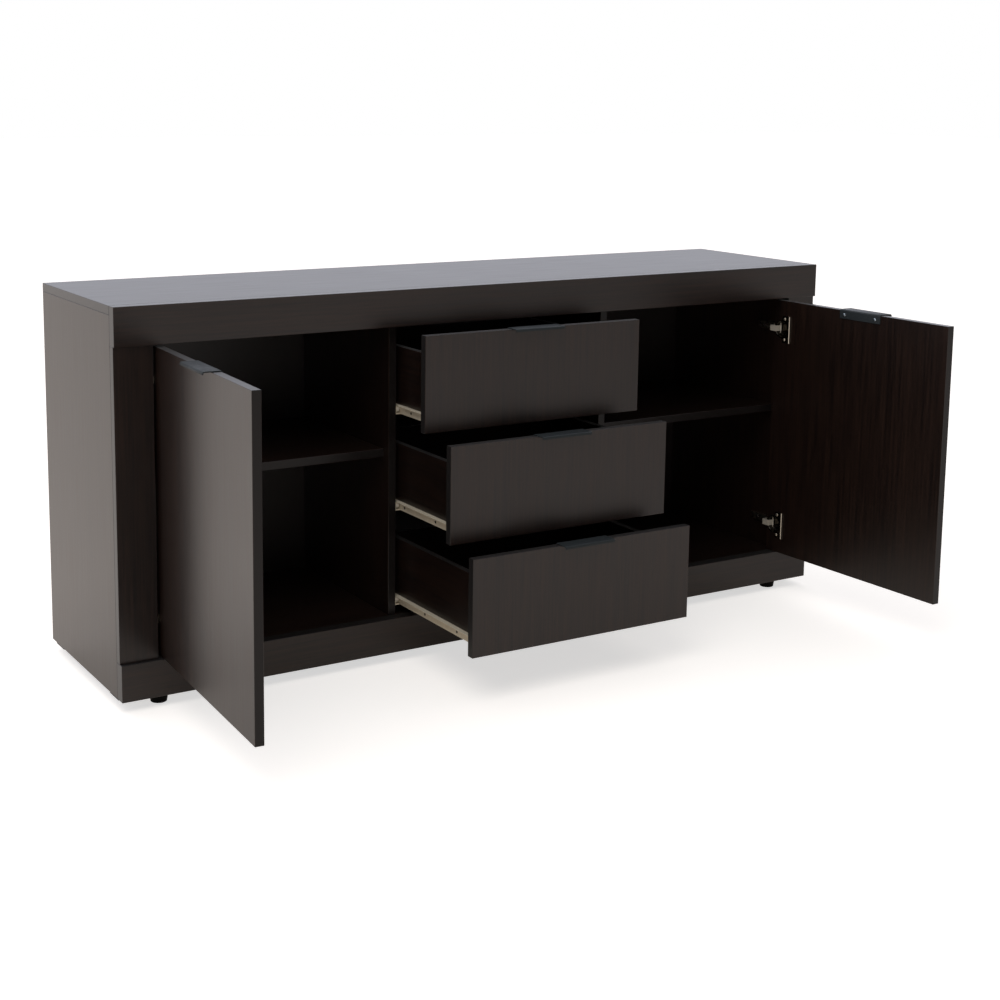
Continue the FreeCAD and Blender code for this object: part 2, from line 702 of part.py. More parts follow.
def make_drawer(name, step):
    front_back = "front_face + front_thickness"
    front = board(f"{name}_drawer_front", ("-drawer_front_half", "drawer_front_half"),
                  ("front_face", front_back), ("0", "drawer_front_height"))
    box(front, "Subtractive", f"{name}_front_groove",
        ("-box_inner - groove_depth", f"{front_back} - groove_depth", "groove_base"),
        ("box_inner + groove_depth", f"{front_back} + cut_overrun", "groove_top"))
    bottom_half = "box_inner + groove_depth - groove_clearance"
    bottom = board(f"{name}_drawer_bottom", (f"-({bottom_half})", bottom_half),
                   (f"{front_back} - groove_depth + groove_clearance", "runner_rear"),
                   ("groove_base + groove_clearance", "groove_top - groove_clearance"), False)
    back = board(f"{name}_drawer_back", ("-box_inner", "box_inner"),
                 ("runner_rear - drawer_side_thickness", "runner_rear"), ("groove_top", "side_top"), False)
    pull = make_pull(f"{name}_drawer_pull", "0", "front_face", front_back, "drawer_front_height")
    sides, runners, runner_rollers, rail_rollers, rails = [], [], [], [], []
    for hand, side in HANDS.items():
        sides.append(make_drawer_side(f"{name}_{side}_drawer_side", hand))
        runners.append(make_runner(f"{name}_{side}_runner", hand))
        runner_roller = make_roller(f"{name}_{side}_runner_roller", hand)
        place(runner_roller, "0", f"runner_roller_y - {name}_extension",
              f"{drawer_z(step)} + runner_roller_z")
        runner_rollers.append(runner_roller)
        rail_roller = make_roller(f"{name}_{side}_rail_roller", hand)
        place(rail_roller, "0", "rail_roller_y", f"{drawer_z(step)} + rail_roller_z")
        rail_rollers.append(rail_roller)
        rails.append(make_rail(f"{name}_{side}_rail", hand, step))
    for piece in (front, pull, *sides, *runners):
        on_drawer(piece, name, step)
    place(bottom, "0", f"-{name}_extension", f"{drawer_z(step)} + groove_base + groove_clearance")
    place(back, "0", f"-{name}_extension", f"{drawer_z(step)} + groove_top")
    for piece in (front, bottom, back, pull):
        node(piece)
    group(f"{name}_drawer_sides", sides)
    group(f"{name}_drawer_runners", runners)
    group(f"{name}_runner_rollers", runner_rollers)
    group(f"{name}_rail_rollers", rail_rollers)
    return rails


def make_fronts():
    for hand, name in HANDS.items():
        make_door(hand, name)
    rails = []
    for step, name in enumerate(DRAWERS):
        rails += make_drawer(name, step)
    group("runner_rails", rails)


def export():
    """Writes each node once every object in the document is sound."""
    doc.recompute()
    for item in doc.Objects:
        if "Invalid" in item.State or "Error" in item.State:
            raise RuntimeError(f"{item.Label}: {item.getStatusString()}")
    for item in nodes:
        if item.Shape.isNull() or not item.Shape.isValid() or not item.Shape.Solids:
            raise RuntimeError(f"{item.Label} has no sound solid")
    os.makedirs("parts", exist_ok=True)
    for item in nodes:
        item.Shape.exportStep(f"parts/{item.Label}.step")
    print(len(nodes), "nodes,", sum(len(item.Shape.Solids) for item in nodes), "solids")


make_carcass()
make_shelves()
make_feet()
make_hinges_on_cabinet()
make_fronts()
export()
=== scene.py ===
"""Looks of a sideboard with two doors and three drawers.

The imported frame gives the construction. This script gives its boards, metal and plastic their
finishes, and adds what is too small or too soft in shape for the frame: folded pulls with rounded
bends, pressed hinge cups, moulded feet, screws and back nails. Lengths are metres, in the frame's
own axes.
"""

import json
import math

import bmesh
import bpy
from bpy.props import FloatProperty, FloatVectorProperty, IntProperty, PointerProperty
from mathutils import Matrix, Vector

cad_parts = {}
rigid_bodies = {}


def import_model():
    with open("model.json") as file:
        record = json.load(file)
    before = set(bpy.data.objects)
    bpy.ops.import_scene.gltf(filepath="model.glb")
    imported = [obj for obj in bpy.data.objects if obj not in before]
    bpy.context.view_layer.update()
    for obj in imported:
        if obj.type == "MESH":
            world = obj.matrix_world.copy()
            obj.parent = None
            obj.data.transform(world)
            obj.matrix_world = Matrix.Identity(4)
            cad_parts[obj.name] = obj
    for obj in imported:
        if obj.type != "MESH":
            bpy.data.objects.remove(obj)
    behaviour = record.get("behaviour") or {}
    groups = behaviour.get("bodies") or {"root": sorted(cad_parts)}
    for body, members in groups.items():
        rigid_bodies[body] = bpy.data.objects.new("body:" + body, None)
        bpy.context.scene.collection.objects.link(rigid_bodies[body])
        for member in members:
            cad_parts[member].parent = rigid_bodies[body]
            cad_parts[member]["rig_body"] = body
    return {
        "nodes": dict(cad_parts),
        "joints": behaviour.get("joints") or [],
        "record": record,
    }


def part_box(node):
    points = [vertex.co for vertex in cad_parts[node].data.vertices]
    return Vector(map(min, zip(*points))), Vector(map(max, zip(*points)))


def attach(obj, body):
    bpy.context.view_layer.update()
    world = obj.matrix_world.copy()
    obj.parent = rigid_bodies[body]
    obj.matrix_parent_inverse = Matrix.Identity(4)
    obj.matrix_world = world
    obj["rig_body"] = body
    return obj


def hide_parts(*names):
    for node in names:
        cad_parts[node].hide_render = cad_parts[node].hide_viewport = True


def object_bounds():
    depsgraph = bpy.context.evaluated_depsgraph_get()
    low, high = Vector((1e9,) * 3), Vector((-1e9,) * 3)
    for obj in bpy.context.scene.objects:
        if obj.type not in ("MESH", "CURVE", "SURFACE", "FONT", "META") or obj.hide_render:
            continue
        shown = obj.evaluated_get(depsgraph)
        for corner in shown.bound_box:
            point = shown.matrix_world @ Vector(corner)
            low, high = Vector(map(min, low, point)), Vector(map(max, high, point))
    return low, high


bl_info = {
    "name": "Sideboard looks",
    "version": (1, 0, 0),
    "blender": (4, 5, 0),
    "location": "3D View > Sidebar > Sideboard",
    "description": "Board decor, metal finishes and small hardware of a sideboard",
    "category": "Object",
}

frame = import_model()
cad_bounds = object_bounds()

LEVELS = ("upper", "middle", "lower")
HANDS = {"left": -1, "right": 1}
UP = Vector((0, 0, 1))
BACKWARD = Vector((0, 1, 0))


# Places on the frame


def opened(body):
    """Carries a piece built on the closed cabinet to where its body rests, with doors and drawers open."""
    for joint in frame["joints"]:
        if joint["child"] == body and joint["type"] == "slide":
            return Matrix.Translation(Vector(joint["axis"]) * -joint["range_m"][0])
        if joint["child"] == body:
            pin = Vector(joint["pos_m"])
            turn = Matrix.Rotation(math.radians(-joint["range_deg"][0]), 4, Vector(joint["axis"]))
            return Matrix.Translation(pin) @ turn @ Matrix.Translation(-pin)
    return Matrix.Identity(4)


def closed_box(name):
    """Lowest and highest corner of a CAD node with its door or drawer closed."""
    part = frame["nodes"][name]
    back = opened(part["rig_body"]).inverted()
    points = [back @ vertex.co for vertex in part.data.vertices]
    return [Vector(map(pick, zip(*points))) for pick in (min, max)]


def facing(point, outward):
    """A place at a point whose own Z looks outward."""
    return Matrix.Translation(point) @ Vector(outward).to_track_quat("Z", "Y").to_matrix().to_4x4()


# Settings


def srgb(code):
    """A hex colour as the linear colour that shaders take."""
    parts = [int(code[start:start + 2], 16) / 255 for start in (1, 3, 5)]
    return [part / 12.92 if part <= 0.04045 else ((part + 0.055) / 1.055) ** 2.4 for part in parts] + [1]


def tint(name, description, code):
    return FloatVectorProperty(name=name, description=description, size=4, min=0, max=1, default=srgb(code),
                               subtype="COLOR")


def length(name, description, metres):
    return FloatProperty(name=name, description=description, default=metres, unit="LENGTH")


def lengths(name, description, *metres):
    return FloatVectorProperty(name=name, description=description, size=len(metres), default=metres,
                               unit="LENGTH")


def angle(name, description, degrees):
    return FloatProperty(name=name, description=description, default=math.radians(degrees), subtype="ANGLE")


def share(name, description, part):
    return FloatProperty(name=name, description=description, default=part, min=0, max=1, subtype="FACTOR")


def brightness(name, description, amount):
    return FloatProperty(name=name, description=description, default=amount, min=0)


class FinishSettings(bpy.types.PropertyGroup):
    board: tint("Board", "Ground of the boards' wood print", "#120c0b")
    streak: tint("Streaks", "Broad streaks of the wood print", "#1f1511")
    line: tint("Lines", "Fine lines of the wood print", "#2c1d16")
    pore: tint("Pores", "Short pores of the wood print", "#0a0706")
    edging: tint("Edging", "Strip glued on the boards' edges", "#14100f")
    hardboard: tint("Hardboard", "Bare side of the back panel and drawer bottoms", "#5c4330")
    pine: tint("Pine", "Sawn blocks over the feet", "#cfa976")
    nickel: tint("Nickel", "Plating of the hinges and screws", "#d8cfbf")
    # Painted shade: a darker nickel for the hinge pots stands in for the shade inside the cups.
    pot_shade: tint("Painted pot shade", "Inside of the hinge pots", "#4a4640")
    zinc: tint("Zinc", "Plating of the pulls' screws", "#cbd6de")
    enamel: tint("Enamel", "Enamel of the rails and runners", "#ece0c8")
    nylon: tint("Nylon", "Rollers", "#e9e6dc")
    pull: tint("Pulls", "Powder coat of the pulls", "#2c3133")
    plastic: tint("Plastic", "Feet and glides", "#060606")
    screw: tint("Black screws", "Blacked screws of the runners and hinge plates", "#1d1a18")


class PullSettings(bpy.types.PropertyGroup):
    gauge: length("Gauge", "Thickness of the folded plate", 0.002)
    bend: length("Inside bend", "Inside radius of the folds", 0.0014)
    lip: length("Lip", "How far the front lip turns down from the top face", 0.0055)
    softness: length("Edge softness", "Rounding of the cut edges", 0.0004)
    screw_span: length("Screw span", "Distance between the two screws", 0.084)
    screw_drop: length("Screw drop", "Screw axis below the plate's top face", 0.011)
    screw_radius: length("Screw head radius", "Radius of the pan heads", 0.0032)
    screw_height: length("Screw head height", "How far the heads stand out", 0.0021)


class HingeSettings(bpy.types.PropertyGroup):
    heights: lengths("Hinge heights", "Heights of the hinges above the floor", 0.152, 0.5885)
    door_face: length("Door face", "Inner face of the closed doors from the cabinet's middle", -0.175)
    cup: length("Cup", "Cup's axis from the cabinet's middle", 0.7025)
    cup_radius: length("Cup radius", "Outer radius of the pot", 0.0175)
    cup_depth: length("Cup depth", "Depth of the pot below the door's face", 0.0125)
    cup_rim: length("Cup rim", "Radius of the rim on the door's face", 0.0195)
    cup_wall: length("Cup wall", "Thickness of the drawn pot", 0.0008)
    gauge: length("Gauge", "Thickness of the pressed plate", 0.0013)
    flange: lengths("Flange", "Where the flange starts and its hem lies, from the cup's axis", 0.0035, 0.0242)
    flange_height: length("Flange height", "Height of the flange", 0.058)
    hem_radius: length("Hem radius", "Radius of the flange's rolled edge", 0.0019)
    cup_screws: lengths("Cup screws", "Cup screws from the cup's axis and between the two", 0.0095, 0.045)
    plate_screw: lengths("Plate screw", "Plate screw from the cabinet's middle and front", 0.726, -0.107)
    neck_end: length("Neck end", "Rear of the arms' necks from the cabinet's middle", -0.1665)
    arm_face: length("Arm face", "Arm's outer face from the cabinet's middle", 0.719)
    arm_screws: lengths("Arm screws", "Adjusting and fixing screw from the cabinet's middle", -0.151, -0.127)
    screw_radius: length("Screw head radius", "Radius of the heads", 0.0034)
    screw_height: length("Screw head height", "How far the heads stand out", 0.0016)


class RunnerSettings(bpy.types.PropertyGroup):
    web: length("Runner web", "Runner's outer face from the cabinet's middle", 0.22603)
    rail: length("Rail web", "Rail's inner face from the cabinet's middle", 0.23613)
    lift: length("Screw height", "Screw axis above the foot of the drawer front", 0.0225)
    runner_screws: lengths("Runner screws", "Runner screws on the closed drawer", -0.107, 0.011, 0.123)
    rail_screws: lengths("Rail screws", "Rail screws from the cabinet's middle", -0.136, 0.12)
    screw_radius: length("Screw head radius", "Radius of the flat heads", 0.0026)
    screw_height: length("Screw head height", "How far the flat heads stand out", 0.0005)


class FootSettings(bpy.types.PropertyGroup):
    crown: length("Crown radius", "Radius under the cabinet", 0.018)
    sole: length("Sole radius", "Radius on the floor", 0.015)
    height: length("Height", "Floor to the cabinet's underside", 0.02)
    softness: length("Softness", "Rounding of the sole's edge", 0.0012)
    hollow: length("Hollow", "Depth of the hollow in the sole", 0.0008)
    stud: length("Stud radius", "Radius of the stud in the block", 0.004)
    stud_length: length("Stud length", "Length of the stud", 0.025)
    places: lengths("Places", "Across, front and rear from the cabinet's middle", 0.72, -0.166, 0.172)


class NailSettings(bpy.types.PropertyGroup):
    spacing: length("Spacing", "Distance between nails", 0.105)
    radius: length("Head radius", "Radius of a nail head", 0.0024)
    height: length("Head height", "How far a head stands out", 0.0007)
    columns: lengths("Columns", "Partition and inner wall from the cabinet's middle", 0.24533, 0.736)
    sill: length("Sill", "Height of the row into the bottom panel", 0.08)


class StageSettings(bpy.types.PropertyGroup):
    eye: lengths("Eye", "Where the camera stands", -1.7360, -2.8938, 1.1000)
    heading: angle("Heading", "Turn of the camera from straight on", 31.0807)
    dip: angle("Dip", "How far the camera looks down", 8.9975)
    roll: angle("Roll", "Roll of the camera", 0.5940)
    lens: FloatProperty(name="Lens", description="Focal length", default=59.672, unit="CAMERA")
    shift: FloatVectorProperty(name="Shift", description="Lens shift", size=2, default=(0.04, -0.15))
    floor: length("Floor", "Half the width of the floor", 30)
    floor_tone: tint("Floor tone", "Colour of the floor", "#efe6dc")
    floor_light: tint("Floor light", "Colour of the floor's light to everything but the camera", "#fff4e8")
    floor_glow: share("Floor glow", "Light of the floor to the camera, beside what falls on it", 0.62)
    floor_sheen: share("Floor sheen", "Light of the floor behind the cabinet to everything else", 0.5)
    floor_fade: share("Floor fade", "Light of the floor in front of the cabinet to everything else", 0.16)
    fade_reach: lengths("Fade reach", "Where the fade begins and ends, from the cabinet's middle", -0.4, 0.6)
    sky_tone: tint("Sky tone", "Colour of the light from behind the cabinet", "#f2f4ff")
    front_level: brightness("Front level", "Light from in front of the cabinet", 0.13)
    back_level: brightness("Back level", "Light from behind the cabinet", 1.13)
    lamp: lengths("Lamp", "Where the soft light hangs", -1.4, -1.6, 2.8)
    lamp_size: length("Lamp size", "Width of the soft light", 2.2)
    lamp_power: FloatProperty(name="Lamp power", description="Power of the soft light", default=26,
                              unit="POWER")


class SideboardSettings(bpy.types.PropertyGroup):
    finishes: PointerProperty(type=FinishSettings)
    pulls: PointerProperty(type=PullSettings)
    hinges: PointerProperty(type=HingeSettings)
    runners: PointerProperty(type=RunnerSettings)
    feet: PointerProperty(type=FootSettings)
    nails: PointerProperty(type=NailSettings)
    stage: PointerProperty(type=StageSettings)
    head_segments: IntProperty(name="Head segments", description="Sides of a screw head", default=20)


# Materials


WHITE = srgb("#ffffff")
WORN_SHARE = 0.8
FACE_COSINE = 0.5
FULL_SHINE, EDGING_SHINE, GRIT_SHINE, MATT_SHINE = 0.5, 0.27, 0.22, 0.08
EDGING_DULLNESS, EDGING_SHEEN, SHEEN_SPREAD = 0.32, 0.4, 0.3
NECK_DULLNESS, NECK_METAL = 0.4, 0.25
# How fine each pattern is
LINE_SCALE, STREAK_SCALE, PORE_SCALE = 240, 55, 900
MOTTLE_SCALE, FIBRE_SCALE, RING_SCALE, CLOUD_SCALE = 60, 900, 260, 120
# Where each pattern starts to show, and where it shows in full
LINE_BAND, STREAK_BAND, PORE_BAND = (0.38, 0.7), (0.36, 0.66), (0.6, 0.72)
FIBRE_BAND, CLOUD_BAND = (0.42, 0.7), (0.3, 0.7)
PRINT_STRENGTH, FIBRE_STRENGTH = 0.7, 0.5
# Roughness between the lightest and the heaviest places of a pattern
SATIN, SAWN, PLATING = (0.24, 0.38), (0.55, 0.75), (0.24, 0.34)
BARE_DULLNESS, PRINTED_DULLNESS = 0.75, 0.42
# Strength and depth of the reliefs
PRINT_RELIEF, FIBRE_RELIEF, SAWN_RELIEF = (0.25, 0.00005), (0.3, 0.0001), (0.3, 0.0003)
COAT_STRENGTH = 0.35
# Scale of the wood's patterns along the grain, against 1 across it
GRAIN_STRETCH, RING_STRETCH = 0.03, 0.08


def node(tree, kind, inputs=(), **settings):
    """Adds a node, sets it, and gives its inputs constants or links."""
    made = tree.nodes.new(kind)
    for name, value in settings.items():
        setattr(made, name, value)
    for name, value in dict(inputs).items():
        if isinstance(value, bpy.types.NodeSocket):
            tree.links.new(value, made.inputs[name])
        else:
            made.inputs[name].default_value = value
    return made


def blank(name):
    """A material with one shader, and the place that its patterns are measured from."""
    material = bpy.data.materials.new(name)
    material.use_nodes = True
    tree = material.node_tree
    place = node(tree, "ShaderNodeTexCoord").outputs["Object"]
    return material, tree, tree.nodes["Principled BSDF"], place


def noise(tree, place, scale, detail, rough=0.5, warp=0.0):
    return node(tree, "ShaderNodeTexNoise", {"Vector": place, "Scale": scale, "Detail": detail,
                                             "Roughness": rough, "Distortion": warp}).outputs["Fac"]


def stretch(tree, value, low, high, start=0.0, stop=1.0):
    """Spreads the values from low to high over start to stop."""
    ends = {"From Min": low, "From Max": high, "To Min": start, "To Max": stop}
    return node(tree, "ShaderNodeMapRange", {"Value": value, **ends}).outputs[0]


def blend(tree, amount, first, second):
    """A colour between two."""
    return node(tree, "ShaderNodeMix", {0: amount, 6: first, 7: second}, data_type="RGBA").outputs[2]


def between(tree, amount, first, second):
    """A number between two."""
    return node(tree, "ShaderNodeMix", {0: amount, 2: first, 3: second}).outputs[0]


def reckon(tree, operation, *values):
    return node(tree, "ShaderNodeMath", dict(enumerate(values)), operation=operation).outputs[0]


def towards(tree, way):
    """How squarely a face of the resting piece looks one way."""
    normal = node(tree, "ShaderNodeTexCoord").outputs["Normal"]
    return node(tree, "ShaderNodeVectorMath", {0: normal, 1: way}, operation="DOT_PRODUCT").outputs["Value"]


def worn(tone):
    return [part * WORN_SHARE for part in tone[:3]] + [1]


def dress(tree, skin, colour, dull, height, strength, deep):
    """Links a colour, a roughness and a relief to the shader."""
    relief = node(tree, "ShaderNodeBump", {"Height": height, "Strength": strength, "Distance": deep})
    tree.links.new(colour, skin.inputs["Base Color"])
    tree.links.new(dull, skin.inputs["Roughness"])
    tree.links.new(relief.outputs["Normal"], skin.inputs["Normal"])


def board_decor(name, tones, grain, thickness):
    """Dark printed wood under a satin melamine skin, with plain duller edging round the board.

    Long brown streaks, finer lines and short pores run along the grain, and the lines dull the
    skin a little, so that the sheen breaks up along them.
    """
    material, tree, skin, place = blank(name)
    along = node(tree, "ShaderNodeMapping", {"Vector": place, "Scale": grain}).outputs["Vector"]
    lines = noise(tree, along, LINE_SCALE, detail=3)
    streaks = noise(tree, along, STREAK_SCALE, detail=5, rough=0.62, warp=0.5)
    pores = noise(tree, along, PORE_SCALE, detail=2)
    brown = blend(tree, stretch(tree, streaks, *STREAK_BAND), tones.board, tones.streak)
    brown = blend(tree, stretch(tree, lines, *LINE_BAND, stop=PRINT_STRENGTH), brown, tones.line)
    brown = blend(tree, stretch(tree, pores, *PORE_BAND, stop=PRINT_STRENGTH), brown, tones.pore)
    square = reckon(tree, "ABSOLUTE", towards(tree, thickness))
    edge = reckon(tree, "LESS_THAN", square, FACE_COSINE)
    dull = between(tree, edge, stretch(tree, lines, 0, 1, *SATIN), EDGING_DULLNESS)
    # The edging shines less than the skin, and its fine haze shows where it is seen along the surface.
    tree.links.new(between(tree, edge, FULL_SHINE, EDGING_SHINE), skin.inputs["Specular IOR Level"])
    tree.links.new(reckon(tree, "MULTIPLY", edge, EDGING_SHEEN), skin.inputs["Sheen Weight"])
    skin.inputs["Sheen Roughness"].default_value = SHEEN_SPREAD
    dress(tree, skin, blend(tree, edge, brown, tones.edging), dull, lines, *PRINT_RELIEF)
    return material


def hardboard(name, tones, printed):
    """Pressed brown fibre board: a warm mottle with short matted fibres and a dry, dull face.

    The side that looks towards the given way is printed dark to go with the boards.
    """
    material, tree, skin, place = blank(name)
    mottle = noise(tree, place, MOTTLE_SCALE, detail=4)
    fibres = noise(tree, place, FIBRE_SCALE, detail=4, warp=1.5)
    bare = blend(tree, mottle, worn(tones.hardboard), tones.hardboard)
    bare = blend(tree, stretch(tree, fibres, *FIBRE_BAND, stop=FIBRE_STRENGTH), bare, tones.line)
    face = reckon(tree, "GREATER_THAN", towards(tree, printed), FACE_COSINE)
    colour = blend(tree, face, bare, blend(tree, mottle, tones.board, tones.streak))
    dull = stretch(tree, face, 0, 1, BARE_DULLNESS, PRINTED_DULLNESS)
    dress(tree, skin, colour, dull, fibres, *FIBRE_RELIEF)
    return material


def softwood(name, tones):
    """Sawn pine: pale yellow with darker summer growth along the length."""
    material, tree, skin, place = blank(name)
    stretched = {"Vector": place, "Scale": (1, 1, RING_STRETCH)}
    along = node(tree, "ShaderNodeMapping", stretched).outputs["Vector"]
    rings = noise(tree, along, RING_SCALE, detail=3, warp=0.8)
    colour = blend(tree, rings, tones.pine, worn(tones.pine))
    dress(tree, skin, colour, stretch(tree, rings, 0, 1, *SAWN), rings, *SAWN_RELIEF)
    return material


def coated(name, tone, glossy, dull, metallic=0.0, grain=1400, relief=0.00004, shine=FULL_SHINE):
    """A plain coat or plating: one tone with a faint cloudiness, uneven gloss and a fine skin."""
    material, tree, skin, place = blank(name)
    cloud = noise(tree, place, CLOUD_SCALE, detail=5)
    colour = blend(tree, cloud, tone, worn(tone))
    gloss = stretch(tree, cloud, *CLOUD_BAND, glossy, dull)
    dress(tree, skin, colour, gloss, noise(tree, place, grain, detail=2), COAT_STRENGTH, relief)
    skin.inputs["Metallic"].default_value = metallic
    skin.inputs["Specular IOR Level"].default_value = shine
    return material


def plated_arm(name, tone, neck_end):
    """Nickel on the hinge arms: tumbled and pale on the necks, smooth on the channels behind them."""
    material = coated(name, tone, *PLATING)
    tree = material.node_tree
    skin = tree.nodes["Principled BSDF"]
    place = node(tree, "ShaderNodeTexCoord").outputs["Object"]
    depth = node(tree, "ShaderNodeSeparateXYZ", {"Vector": place}).outputs["Y"]
    neck = reckon(tree, "LESS_THAN", depth, neck_end)
    smooth = skin.inputs["Roughness"].links[0].from_socket
    tree.links.new(between(tree, neck, smooth, NECK_DULLNESS), skin.inputs["Roughness"])
    tree.links.new(stretch(tree, neck, 0, 1, 1, NECK_METAL), skin.inputs["Metallic"])
    return material


ALONG_X, ALONG_Y, ALONG_Z = (GRAIN_STRETCH, 1, 1), (1, GRAIN_STRETCH, 1), (1, 1, GRAIN_STRETCH)
BOARDS = {"upright_panel": (ALONG_Z, (1, 0, 0)), "upright_front": (ALONG_Z, (0, 1, 0)),
          "long_front": (ALONG_X, (0, 1, 0)), "long_flat": (ALONG_X, (0, 0, 1)),
          "deep_panel": (ALONG_Y, (1, 0, 0))}
UPRIGHT_FRONTS = ("left_pilaster", "right_pilaster", *(f"{level}_drawer_front" for level in LEVELS))
LONG_FRONTS = ("fascia", "plinth", "rear_rail", *(f"{level}_drawer_back" for level in LEVELS))
LONG_FLATS = ("lid", "bottom_panel", "left_shelf", "right_shelf")
DEEP_PANELS = tuple(f"{level}_drawer_sides" for level in LEVELS)
BOARD_NAMES = {"upright_front": UPRIGHT_FRONTS, "long_front": LONG_FRONTS, "long_flat": LONG_FLATS,
               "deep_panel": DEEP_PANELS}
finishes = {}


def make_finishes(tones, neck_end):
    """One material for each finish, named after a slot of the record, a kind of board, a node or its coat."""
    for kind, (grain, thickness) in BOARDS.items():
        finishes[kind] = board_decor(f"wenge_melamine_{kind}", tones, grain, thickness)
    finishes["hardboard_back"] = hardboard("hardboard_printed_in_front", tones, (0, -1, 0))
    finishes["hardboard_tray"] = hardboard("hardboard_printed_on_top", tones, (0, 0, 1))
    finishes["softwood"] = softwood("sawn_pine", tones)
    # Pale satin plating: a soft warm silver, cloudy where it is thin.
    finishes["nickel_steel"] = coated("nickel_plated_steel", tones.nickel, *PLATING, metallic=1.0)
    # The same plating on smooth pressings: dark where the room is dark, bright along the bends.
    finishes["bright_nickel"] = coated("bright_nickel_plate", tones.nickel, glossy=0.07, dull=0.13,
                                       metallic=1.0)
    finishes["hinge_arms"] = plated_arm("nickel_plated_arms", tones.nickel, neck_end)
    # The deep pressed pots take the plating in a darker tone than the rest: painted shade for the inside of
    # the cups.
    finishes["drawn_steel"] = coated("nickel_painted_dark_for_cup_shade", tones.pot_shade, glossy=0.12, dull=0.2, metallic=1.0)
    # Blue-white zinc on the pulls' screws.
    finishes["zinc_steel"] = coated("zinc_plated_steel", tones.zinc, glossy=0.26, dull=0.36, metallic=1.0)
    # Baked cream enamel on the runners: glossy, with a slight orange peel.
    finishes["cream_enamel"] = coated("cream_enamel", tones.enamel, glossy=0.28, dull=0.4, grain=500,
                                      relief=0.00006)
    # Nylon rollers: milky white and waxy.
    finishes["roller_plastic"] = coated("white_nylon", tones.nylon, glossy=0.38, dull=0.5)
    # Charcoal powder coat on the pulls: fine grit that scatters the light.
    finishes["dark_pull"] = coated("charcoal_powder_coat", tones.pull, glossy=0.42, dull=0.54, grain=2200,
                                   relief=0.00008, shine=GRIT_SHINE)
    # Moulded black plastic: dull, with a fine spark-eroded grain.
    finishes["black_plastic"] = coated("black_polypropylene", tones.plastic, glossy=0.46, dull=0.6,
                                       grain=1800, relief=0.0001, shine=MATT_SHINE)
    # Blacked steel: dark and slightly oily.
    finishes["black_screw"] = coated("blacked_steel", tones.screw, glossy=0.35, dull=0.5, metallic=0.6)


# Mesh pieces


SHARP_DEGREES = 35
MERGE_DISTANCE = 0.000001
SOFT_SEGMENTS, ROUND_PROFILE = 2, 0.5
CROSS_REACH, CROSS_HALF, CROSS_DEPTH, CROSS_TAPER = 0.56, 0.14, 0.7, 0.8
HEAD_RINGS = ((1, 0), (0.97, 0.45), (0.8, 0.85))
NAIL_RINGS = ((1, 0), (1, 0.4), (0.6, 1), (0, 1))
NAIL_STEPS, FOOT_STEPS, CUP_STEPS, MOUTH_STEPS, HEM_STEPS, BEND_STEPS = 10, 40, 48, 24, 20, 6


def finished(name, mesh, finish, body, stands_for=()):
    """Turns a mesh under construction into a shown piece that rides on a body."""
    bmesh.ops.recalc_face_normals(mesh, faces=mesh.faces)
    data = bpy.data.meshes.new(name)
    mesh.to_mesh(data)
    mesh.free()
    data.materials.append(finishes[finish])
    data.shade_smooth()
    data.set_sharp_from_angle(angle=math.radians(SHARP_DEGREES))
    piece = bpy.data.objects.new(name, data)
    bpy.context.scene.collection.objects.link(piece)
    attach(piece, body)
    if stands_for:
        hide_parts(*stands_for)


def turned(mesh, profile, place, steps):
    """Spins a half section of radii and heights about its own axis and sets it in place."""
    before = set(mesh.verts)
    points = [mesh.verts.new((radius, 0, height)) for radius, height in profile]
    edges = [mesh.edges.new(pair) for pair in zip(points, points[1:])]
    bmesh.ops.spin(mesh, geom=points + edges, cent=(0, 0, 0), axis=UP, angle=math.tau, steps=steps,
                   use_merge=True)
    spun = [vert for vert in mesh.verts if vert not in before]
    bmesh.ops.remove_doubles(mesh, verts=spun, dist=MERGE_DISTANCE)
    spun = [vert for vert in mesh.verts if vert not in before]
    bmesh.ops.transform(mesh, matrix=place, verts=spun)


def cross_screw(mesh, place, radius, height, segments):
    """A raised screw head with a cross recess, looking along the place's Z."""
    turns = [math.tau * (step + 0.5) / segments for step in range(segments)]
    loops = [[mesh.verts.new((radius * size * math.cos(turn), radius * size * math.sin(turn), height * rise))
              for turn in turns] for size, rise in HEAD_RINGS]
    for low, high in zip(loops, loops[1:]):
        for step in range(segments):
            ahead = (step + 1) % segments
            mesh.faces.new((low[step], low[ahead], high[ahead], high[step]))
    arm, half = radius * CROSS_REACH, radius * CROSS_HALF
    quarter = [(arm, -half), (arm, half), (half, half)]
    cross = [(x * math.cos(turn) - y * math.sin(turn), x * math.sin(turn) + y * math.cos(turn))
             for turn in (0, math.pi / 2, math.pi, 3 * math.pi / 2) for x, y in quarter]
    brim = [mesh.verts.new((x, y, height)) for x, y in cross]
    foot = [mesh.verts.new((x * CROSS_TAPER, y * CROSS_TAPER, height * (1 - CROSS_DEPTH))) for x, y in cross]
    count = len(cross)
    for step in range(count):
        ahead = (step + 1) % count
        mesh.faces.new((brim[ahead], brim[step], foot[step], foot[ahead]))
    mesh.faces.new(reversed(foot))
    rim = [mesh.edges.get((loops[-1][step], loops[-1][(step + 1) % segments])) for step in range(segments)]
    inner = [mesh.edges.get((brim[step], brim[(step + 1) % count])) for step in range(count)]
    bmesh.ops.bridge_loops(mesh, edges=rim + inner)
    bmesh.ops.transform(mesh, matrix=place, verts=[vert for loop in loops for vert in loop] + brim + foot)


